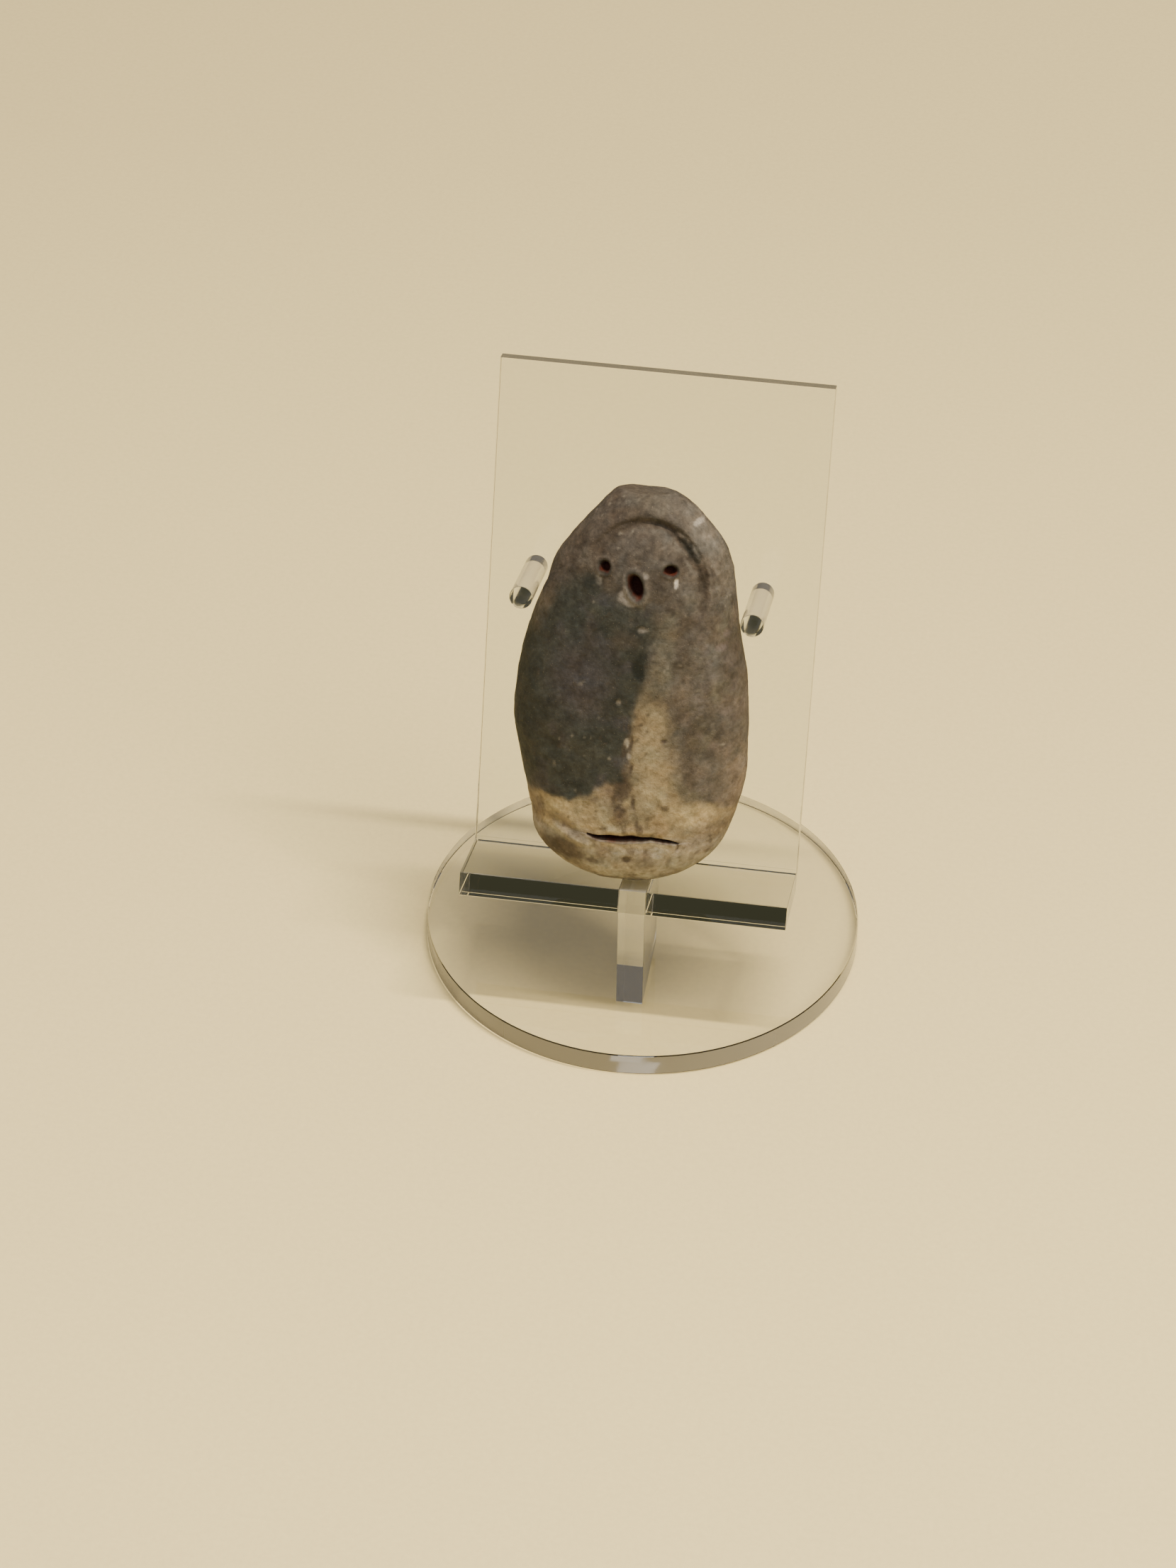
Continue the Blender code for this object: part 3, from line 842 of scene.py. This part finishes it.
def back_coat(points):
    """The back's paint: the same clay colours with one soft dark cloud."""
    coat = Coat(points)
    patches = coat.cloud(0.09, 101)
    paint_body(coat)
    coat.lay("tan", 0.75 * fall(coat.z + 0.03 * patches, 0.17, 0.33))
    inside = oval(coat.x, coat.z, (-0.1, 0.55, 0.17, 0.22)) + 0.5 * patches
    coat.lay("charcoal", 0.85 * fall(inside, 0.6, 1.2))
    coat.mottle()
    coat.speckle()
    return coat.colour


def paint_of(points, facing):
    """The colour of each point: the front's paint goes over into the back's round the sides."""
    share = fade(-points[:, 1], -0.07, -0.01)[:, None]
    return front_coat(points, facing) * share + back_coat(points) * (1 - share)


def build_figurine():
    """The clay figurine, with its paint as a colour for each point."""
    plain, raised, facing = figurine_points()
    mesh = bpy.data.meshes.new("figurine_clay")
    matrix = np.array(figure_matrix())
    vertices = raised * FIGURE_HEIGHT @ matrix[:3, :3].T + matrix[:3, 3]
    mesh.from_pydata(vertices.tolist(), [], grid_faces())
    colours = np.ones((len(plain), 4))
    colours[:, :3] = paint_of(plain, facing)
    paint = mesh.color_attributes.new("Paint", "FLOAT_COLOR", "POINT")
    paint.data.foreach_set("color", colours.ravel())
    mesh.shade_smooth()
    add_piece("figurine_clay", mesh, clay_material(), "painted_resin", "figurine")


# The clear stand.

def add_object(name, data):
    item = bpy.data.objects.new(name, data)
    bpy.context.scene.collection.objects.link(item)
    return item


def add_piece(name, mesh, material, slot, *nodes):
    """Puts a mesh into the scene as a piece that stands for its CAD nodes."""
    mesh.materials.append(material)
    piece = add_object(name, mesh)
    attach(piece, "root")
    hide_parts(*nodes)
    return piece


def polish(bm, edges):
    """Rounds sharp edges."""
    bmesh.ops.bevel(
        bm, geom=edges, offset=EDGE_ROUND, segments=EDGE_STEPS, profile=ROUND_PROFILE, affect="EDGES",
    )


def finish_clear(bm, name, matrix, material):
    """Turns polished bmesh work into a piece that replaces the node of the same name."""
    mesh = bpy.data.meshes.new(name + "_clear")
    bmesh.ops.recalc_face_normals(bm, faces=bm.faces)
    bm.transform(matrix)
    bm.to_mesh(mesh)
    bm.free()
    mesh.shade_smooth()
    mesh.set_sharp_from_angle(angle=SHARP_ANGLE)
    return add_piece(name + "_clear", mesh, material, "clear_acrylic", name)


def mark_cut_edges(piece, is_cut, look=SAWN_EDGE):
    """Gives the hazy edge material to the faces whose normal passes the test."""
    piece.data.materials.append(cut_edge_material(piece.name + "_edge", *look))
    for face in piece.data.polygons:
        if is_cut(face.normal):
            face.material_index = 1


def through_plate(normal):
    """How much of a face's normal lies square to the plate."""
    return abs(normal.dot(rest_matrix().to_3x3() @ Vector((0, 1, 0))))


def mark_glued(piece, is_glued):
    """Gives the joint's material to faces whose middle, in the rest's frame, passes the test."""
    piece.data.materials.append(glued_material(piece.name + "_joint"))
    to_rest = rest_matrix().inverted()
    for face in piece.data.polygons:
        if is_glued(to_rest @ face.center):
            face.material_index = len(piece.data.materials) - 1


def under_plate(middle):
    """Whether a face is on the ledge's top where the plate stands."""
    return middle.z > -TOUCHING and middle.y > -PLATE_THICKNESS


def block_mesh(low, high, glued_low=False):
    """A block with polished edges, apart from those round its lower end where that is glued."""
    bm = bmesh.new()
    bmesh.ops.create_cube(bm, size=1)
    for vertex in bm.verts:
        vertex.co = [a + (b - a) * (c + 0.5) for a, b, c in zip(low, high, vertex.co)]
    end = low[2] + TOUCHING
    free = [e for e in bm.edges if not glued_low or max(v.co.z for v in e.verts) > end]
    polish(bm, free)
    return bm


def turned_mesh(radius, height, segments, rounding, glued_high=False):
    """A round piece with polished rims, turned about the z axis."""
    turns = [pi / 2 * i / EDGE_STEPS for i in range(EDGE_STEPS + 1)]
    inner = radius - rounding
    profile = [(inner + rounding * sin(t), rounding * (1 - cos(t))) for t in turns]
    if glued_high:
        profile.append((radius, height))
    else:
        profile += [(r, height - z) for r, z in reversed(profile)]
    bm = bmesh.new()
    rings = []
    for r, z in profile:
        angles = [2 * pi * i / segments for i in range(segments)]
        rings.append([bm.verts.new((r * cos(a), r * sin(a), z)) for a in angles])
    for under, over in zip(rings, rings[1:]):
        for i in range(segments):
            j = (i + 1) % segments
            bm.faces.new((under[i], under[j], over[j], over[i]))
    bm.faces.new(list(reversed(rings[0])))
    bm.faces.new(rings[-1])
    return bm


def build_base_disc(material):
    """The round foot. Its cut edge is a little hazy."""
    bm = turned_mesh(FOOT_RADIUS, FOOT_THICKNESS, DISC_SEGMENTS, FOOT_ROUND)
    foot = finish_clear(bm, "base_disc", Matrix.Identity(4), material)
    mark_cut_edges(foot, lambda normal: abs(normal.z) < HARDLY)


def build_upright(material):
    """The fin from front to rear, its outline drawn out to its thickness."""
    foot = FOOT_THICKNESS - GLUE_DEPTH
    rear_edge = rest_point(0, -LEDGE_THICKNESS)
    outline = [
        (UPRIGHT_FRONT, foot),
        rest_point(-LEDGE_DEPTH, -LEDGE_THICKNESS),
        rest_point(-LEDGE_DEPTH, 0),
        rest_point(-PLATE_THICKNESS, 0),
        rest_point(0, 0),
        rear_edge,
        (rear_edge[0], foot),
    ]
    half = UPRIGHT_THICKNESS / 2
    bm = bmesh.new()
    left = [bm.verts.new((-half, y, z)) for y, z in outline]
    right = [bm.verts.new((half, y, z)) for y, z in outline]
    bm.faces.new(left)
    bm.faces.new(list(reversed(right)))
    for index in range(len(outline)):
        before = index - 1
        bm.faces.new((left[before], right[before], right[index], left[index]))
    free = [bm.edges.get(pair) for side in (left, right) for pair in zip(side, side[1:])]
    free.append(bm.edges.get((left[2], right[2])))
    polish(bm, free)
    upright = finish_clear(bm, "upright", Matrix.Translation((UPRIGHT_X, 0, 0)), material)
    mark_cut_edges(upright, lambda normal: normal.z > HALFWAY, UPRIGHT_TOP)
    mark_glued(upright, under_plate)


def build_ledges(material):
    """The ledge's two halves, with a thin gap of air between each and the upright."""
    half = REST_WIDTH / 2
    beside = UPRIGHT_THICKNESS / 2 + SIDE_AIR
    upright_x = UPRIGHT_X - REST_X
    left = ("ledge_left", -half, upright_x - beside)
    right = ("ledge_right", upright_x + beside, half)
    for name, start, end in (left, right):
        bm = block_mesh((start, -LEDGE_DEPTH, -LEDGE_THICKNESS), (end, 0, 0))
        bmesh.ops.bisect_plane(
            bm, geom=bm.verts[:] + bm.edges[:] + bm.faces[:],
            plane_co=(0, -PLATE_THICKNESS, 0), plane_no=(0, 1, 0),
        )
        ledge = finish_clear(bm, name, rest_matrix(), material)
        mark_cut_edges(ledge, lambda normal: abs(normal.x) > MOSTLY)
        mark_glued(ledge, under_plate)


def build_back_plate(material):
    """The plate, glued on the ledge with its rear flush with the ledge's."""
    half = REST_WIDTH / 2
    low = (-half, -PLATE_THICKNESS, -GLUE_DEPTH)
    high = (half, 0, PLATE_HEIGHT - EDGE_ROUND)
    bm = block_mesh(low, high, glued_low=True)
    plate = finish_clear(bm, "back_plate", rest_matrix(), material)
    mark_cut_edges(plate, lambda normal: through_plate(normal) < HALFWAY, PLATE_EDGE)
    mark_glued(plate, lambda middle: middle.z < 0)


def build_peg(name, material):
    """A round peg beside the figurine's edge, square to the plate and glued to it."""
    level = PEG_LEVELS[name]
    side, column = (-1, 1) if name == "peg_left" else (1, 2)
    fine = sections_at(np.linspace(0, 1, SECTION_SAMPLES))
    edge = np.interp(level, fine[:, 0], fine[:, column]) * FIGURE_HEIGHT
    across = FIGURE_X + side * (edge + PEG_CLEARANCES[name] + PEG_RADIUS)
    length = JOINT_GAP + PEG_LENGTH + GLUE_DEPTH
    bm = turned_mesh(PEG_RADIUS, length, PEG_SEGMENTS, EDGE_ROUND, glued_high=True)
    tip_y = -PLATE_THICKNESS - JOINT_GAP - PEG_LENGTH
    tip = Matrix.Translation((across, tip_y, level * FIGURE_HEIGHT))
    lying = Matrix.Rotation(-pi / 2, 4, "X")
    peg = finish_clear(bm, name, rest_matrix() @ tip @ lying, material)
    mark_cut_edges(peg, lambda normal: through_plate(normal) < HALFWAY, PEG_SIDE)


# Materials.

ACRYLIC_COLOUR = (0.975, 0.985, 0.975, 1)
ACRYLIC_IOR = 1.49
LAMP_SHARES = {
    "foot": 0.93, "upright": 0.75, "ledge": 0.55, "plate": 0.85, "peg_left": 0.75, "peg_right": 0.75,
}
NOISE_RANGE = (0.3, 0.7)
GRAIN_SIZE = 0.0007
SPECKLE_SIZE = 0.0003
SMEAR_SIZE = 0.004
WIPE_SIZE = 0.006
WAVE_SIZE = 0.012
WEAVE_SIZE = 0.0012
GRIT_COLOUR = (0.42, 0.34, 0.24)
PIT_COLOUR = (0.035, 0.026, 0.018)
FLOOR_COLOUR = (0.80, 0.665, 0.33, 1)
# Painted light falloff: the floor's colour is scaled from brightest at the front to darker at the
# rear.
FLOOR_FALL = (-0.17, 0.30, 1.08, 0.84)


def new_material(name):
    """A material with its tree and its shader."""
    material = bpy.data.materials.new(name)
    material.use_nodes = True
    return material, material.node_tree, material.node_tree.nodes["Principled BSDF"]


def add_node(tree, kind, **values):
    """A node with plain values on its sockets, named with underscores for spaces."""
    node = tree.nodes.new("ShaderNode" + kind)
    for key, value in values.items():
        label = key.replace("_", " ")
        if label in node.inputs:
            node.inputs[label].default_value = value
        else:
            setattr(node, key, value)
    return node


def noise_node(tree, size, detail=4.0, roughness=0.6):
    """Noise in object space whose features are about the given size in metres."""
    place = add_node(tree, "TexCoord")
    noise = add_node(tree, "TexNoise", Scale=1 / size, Detail=detail, Roughness=roughness)
    tree.links.new(place.outputs["Object"], noise.inputs["Vector"])
    return noise.outputs["Fac"]


def place_axes(tree, space):
    """The X, Y and Z of each place in a space."""
    place = add_node(tree, "TexCoord")
    split = add_node(tree, "SeparateXYZ")
    tree.links.new(place.outputs[space], split.inputs[0])
    return split.outputs


def remap(tree, source, low, high, to_low, to_high):
    """Maps one range of values onto another."""
    node = add_node(tree, "MapRange", From_Min=low, From_Max=high, To_Min=to_low, To_Max=to_high)
    tree.links.new(source, node.inputs["Value"])
    return node.outputs["Result"]


def spread(tree, noise, low, high):
    """Noise as values that mostly lie between low and high."""
    return remap(tree, noise, *NOISE_RANGE, low, high)


def scale_colour(tree, colour, factor):
    """Makes a colour darker or lighter by a factor."""
    node = add_node(tree, "VectorMath", operation="SCALE")
    tree.links.new(colour, node.inputs[0])
    tree.links.new(factor, node.inputs["Scale"])
    return node.outputs["Vector"]


def mix_colour(tree, factor, under, over):
    """Mixes a plain colour over a colour output."""
    node = add_node(tree, "Mix", data_type="RGBA")
    tree.links.new(factor, node.inputs["Factor"])
    tree.links.new(under, node.inputs[6])
    node.inputs[7].default_value = (*over, 1)
    return node.outputs[2]


def bump(tree, height, distance, strength, before=None):
    """Fine relief in the shading, laid over the relief before it."""
    node = add_node(tree, "Bump", Distance=distance, Strength=strength)
    tree.links.new(height, node.inputs["Height"])
    if before is not None:
        tree.links.new(before, node.inputs["Normal"])
    return node.outputs["Normal"]


def clay_material():
    """Matt painted clay: soft colours with grain, pale grit, dark pits and a fine rough skin."""
    material, tree, shader = new_material("painted_clay")
    paint = add_node(tree, "Attribute", attribute_name="Paint")
    grain = noise_node(tree, GRAIN_SIZE, detail=5)
    speckle = noise_node(tree, SPECKLE_SIZE, detail=2, roughness=0.7)
    smear = noise_node(tree, SMEAR_SIZE, detail=5, roughness=0.65)
    colour = scale_colour(tree, paint.outputs["Color"], spread(tree, grain, 0.8, 1.22))
    colour = scale_colour(tree, colour, spread(tree, smear, 0.86, 1.14))
    pale = remap(tree, speckle, 0.66, 0.78, 0, 0.35)
    colour = mix_colour(tree, pale, colour, GRIT_COLOUR)
    dark = remap(tree, speckle, 0.36, 0.24, 0, 0.55)
    colour = mix_colour(tree, dark, colour, PIT_COLOUR)
    tree.links.new(colour, shader.inputs["Base Color"])
    tree.links.new(spread(tree, smear, 0.68, 0.9), shader.inputs["Roughness"])
    shader.inputs["Specular IOR Level"].default_value = 0.35
    normal = bump(tree, smear, 0.0004, 0.5)
    normal = bump(tree, grain, 0.00022, 0.7, normal)
    normal = bump(tree, speckle, 0.00008, 0.6, normal)
    tree.links.new(normal, shader.inputs["Normal"])
    return material


def acrylic_material(name):
    """Clear polished acrylic with faint waves and wipe marks. Each face lets some lamp light by."""
    material, tree, shader = new_material(name + "_acrylic")
    shader.inputs["Base Color"].default_value = ACRYLIC_COLOUR
    shader.inputs["Transmission Weight"].default_value = 1.0
    shader.inputs["IOR"].default_value = ACRYLIC_IOR
    wipes = noise_node(tree, WIPE_SIZE, detail=6, roughness=0.7)
    rough = remap(tree, wipes, 0.5, 0.8, 0, 0.03)
    tree.links.new(rough, shader.inputs["Roughness"])
    waves = noise_node(tree, WAVE_SIZE, detail=2)
    normal = bump(tree, waves, 0.00001, 0.05)
    tree.links.new(normal, shader.inputs["Normal"])
    let_lamps_by(tree, shader, LAMP_SHARES[name])
    return material


def let_lamps_by(tree, shader, lamp_share):
    """Lets a share of the lamps' light straight through the surface."""
    output = tree.nodes["Material Output"]
    path = add_node(tree, "LightPath")
    clear = add_node(tree, "BsdfTransparent", Color=(lamp_share, lamp_share, lamp_share, 1))
    mix = add_node(tree, "MixShader")
    tree.links.new(path.outputs["Is Shadow Ray"], mix.inputs["Fac"])
    tree.links.new(shader.outputs["BSDF"], mix.inputs[1])
    tree.links.new(clear.outputs["BSDF"], mix.inputs[2])
    tree.links.new(mix.outputs["Shader"], output.inputs["Surface"])


def glued_material(name):
    """A glued joint between clear pieces, where light goes on unbent."""
    material, tree, shader = new_material(name)
    shader.inputs["Base Color"].default_value = (1, 1, 1, 1)
    shader.inputs["Roughness"].default_value = 0.0
    shader.inputs["Transmission Weight"].default_value = 1.0
    shader.inputs["IOR"].default_value = 1.0
    let_lamps_by(tree, shader, 1.0)
    return material


def cut_edge_material(name, clearness, haze, tint):
    """A sawn or turned edge: the same acrylic, a little hazy, with faint streaks."""
    material, tree, shader = new_material(name)
    shader.inputs["Base Color"].default_value = (*tint, 1)
    shader.inputs["Transmission Weight"].default_value = clearness
    shader.inputs["IOR"].default_value = ACRYLIC_IOR
    streaks = noise_node(tree, SMEAR_SIZE)
    tree.links.new(spread(tree, streaks, 0.2 * haze, haze), shader.inputs["Roughness"])
    return material


def floor_material():
    """A plain pale floor, a little darker to the rear: painted light falloff."""
    material, tree, shader = new_material("pale_floor")
    weave = noise_node(tree, WEAVE_SIZE, detail=3)
    plain = add_node(tree, "RGB")
    plain.outputs[0].default_value = FLOOR_COLOUR
    colour = scale_colour(tree, plain.outputs[0], spread(tree, weave, 0.97, 1.03))
    rearward = place_axes(tree, "Object")["Y"]
    colour = scale_colour(tree, colour, remap(tree, rearward, *FLOOR_FALL))
    tree.links.new(colour, shader.inputs["Base Color"])
    shader.inputs["Roughness"].default_value = 0.9
    shader.inputs["Specular IOR Level"].default_value = 0.2
    return material


# Floor, light and camera.

FLOOR_HALF = 2.0
FLOOR_FRONT = 0.25
FLOOR_REAR = 0.50
FLOOR_GAP = 0.0001
KEY_DISTANCE = 1.3
KEY_LEAN = radians(1)
KEY_SIDE = radians(12)
KEY_SIZE = (0.7, 0.04)
KEY_POWER = 29.0
FILL_PLACE = (0.7, -0.4, 1.1)
FILL_SIZE = (0.5, 0.5)
FILL_POWER = 7.0
LAMP_TARGET = Vector((0, -0.01, 0.06))
WARM = (1.0, 0.88, 0.70)


def build_floor():
    mesh = bpy.data.meshes.new("floor")
    near = [(x, -FLOOR_FRONT, -FLOOR_GAP) for x in (-FLOOR_HALF, FLOOR_HALF)]
    far = [(x, FLOOR_REAR, -FLOOR_GAP) for x in (FLOOR_HALF, -FLOOR_HALF)]
    mesh.from_pydata(near + far, [], [(0, 1, 2, 3)])
    mesh.materials.append(floor_material())
    floor = add_object("floor", mesh)


def turned(place, side, above, back):
    """Where something stands, with its own x, y and z directions."""
    return Matrix.Translation(place) @ Matrix((side, above, back)).transposed().to_4x4()


def add_lamp(name, place, size, power):
    """A panel of two sizes, its first side along x, that faces the lamps' target."""
    data = bpy.data.lights.new(name, "AREA")
    data.shape = "RECTANGLE"
    data.size, data.size_y = size
    data.energy = power
    data.color = WARM
    lamp = add_object(name, data)
    lamp.visible_transmission = False
    lamp.visible_glossy = False
    back = (Vector(place) - LAMP_TARGET).normalized()
    across = (Vector((1, 0, 0)) - back.x * back).normalized()
    lamp.matrix_world = turned(place, across, back.cross(across), back)


def build_lights():
    """A long panel overhead and a broad one at the right."""
    key = LAMP_TARGET + KEY_DISTANCE * Vector((sin(KEY_SIDE), -sin(KEY_LEAN), cos(KEY_LEAN)))
    add_lamp("key", key, KEY_SIZE, KEY_POWER)
    add_lamp("fill", FILL_PLACE, FILL_SIZE, FILL_POWER)


# The surroundings' colours by height, from straight down at 0 to straight up at 1.
WORLD_STOPS = (
    (0.50, (0.062, 0.060, 0.034)),
    (0.56, (0.070, 0.067, 0.039)),
    (0.66, (0.58, 0.56, 0.56)),
    (1.00, (0.97, 0.94, 0.95)),
)
WORLD_WALL = 0.22
WORLD_STRENGTH = 0.72


def build_world():
    """Dark round the horizon, higher up behind, and pale overhead, as a room lit from its ceiling."""
    world = bpy.data.worlds.new("studio")
    world.use_nodes = True
    bpy.context.scene.world = world
    tree = world.node_tree
    ground = tree.nodes["Background"]
    ground.inputs["Strength"].default_value = WORLD_STRENGTH
    axes = place_axes(tree, "Generated")
    lower = add_node(tree, "Math", operation="SUBTRACT")
    tree.links.new(axes["Z"], lower.inputs[0])
    tree.links.new(remap(tree, axes["Y"], 0, 1, 0, WORLD_WALL), lower.inputs[1])
    height = remap(tree, lower.outputs["Value"], -1, 1, 0, 1)
    ramp = add_node(tree, "ValToRGB")
    tree.links.new(height, ramp.inputs["Fac"])
    stops = ramp.color_ramp.elements
    for index, (at, colour) in enumerate(WORLD_STOPS):
        stop = stops[index] if index < 2 else stops.new(at)
        stop.position = at
        stop.color = (*colour, 1)
    tree.links.new(ramp.outputs["Color"], ground.inputs["Color"])


CAMERA_PLACE = (0.0882, -0.6908, 0.6018)
CAMERA_TURN = radians(8.25)
CAMERA_DIP = radians(38.96)
CAMERA_ROLL = radians(0.89)
PHOTO_HEIGHT = 2212
FOCAL_PIXELS = 6188.4
SENSOR = 36.0
CLIP_START = 0.01


def build_camera():
    """The photograph's own view. The sensor is measured along the frame's long side."""
    data = bpy.data.cameras.new("camera")
    data.sensor_width = SENSOR
    data.lens = FOCAL_PIXELS * SENSOR / PHOTO_HEIGHT
    data.clip_start = CLIP_START
    camera = add_object("camera", data)
    level = Vector((-sin(CAMERA_TURN), cos(CAMERA_TURN), 0))
    ahead = cos(CAMERA_DIP) * level - sin(CAMERA_DIP) * Vector((0, 0, 1))
    right = Vector((cos(CAMERA_TURN), sin(CAMERA_TURN), 0))
    above = right.cross(ahead)
    side = cos(CAMERA_ROLL) * right + sin(CAMERA_ROLL) * above
    above = cos(CAMERA_ROLL) * above - sin(CAMERA_ROLL) * right
    camera.matrix_world = turned(CAMERA_PLACE, side, above, -ahead)
    bpy.context.scene.camera = camera


def main():
    build_camera()
    build_floor()
    build_world()
    build_lights()
    build_base_disc(acrylic_material("foot"))
    build_upright(acrylic_material("upright"))
    build_ledges(acrylic_material("ledge"))
    build_back_plate(acrylic_material("plate"))
    for name in PEG_LEVELS:
        build_peg(name, acrylic_material(name))
    build_figurine()


main()
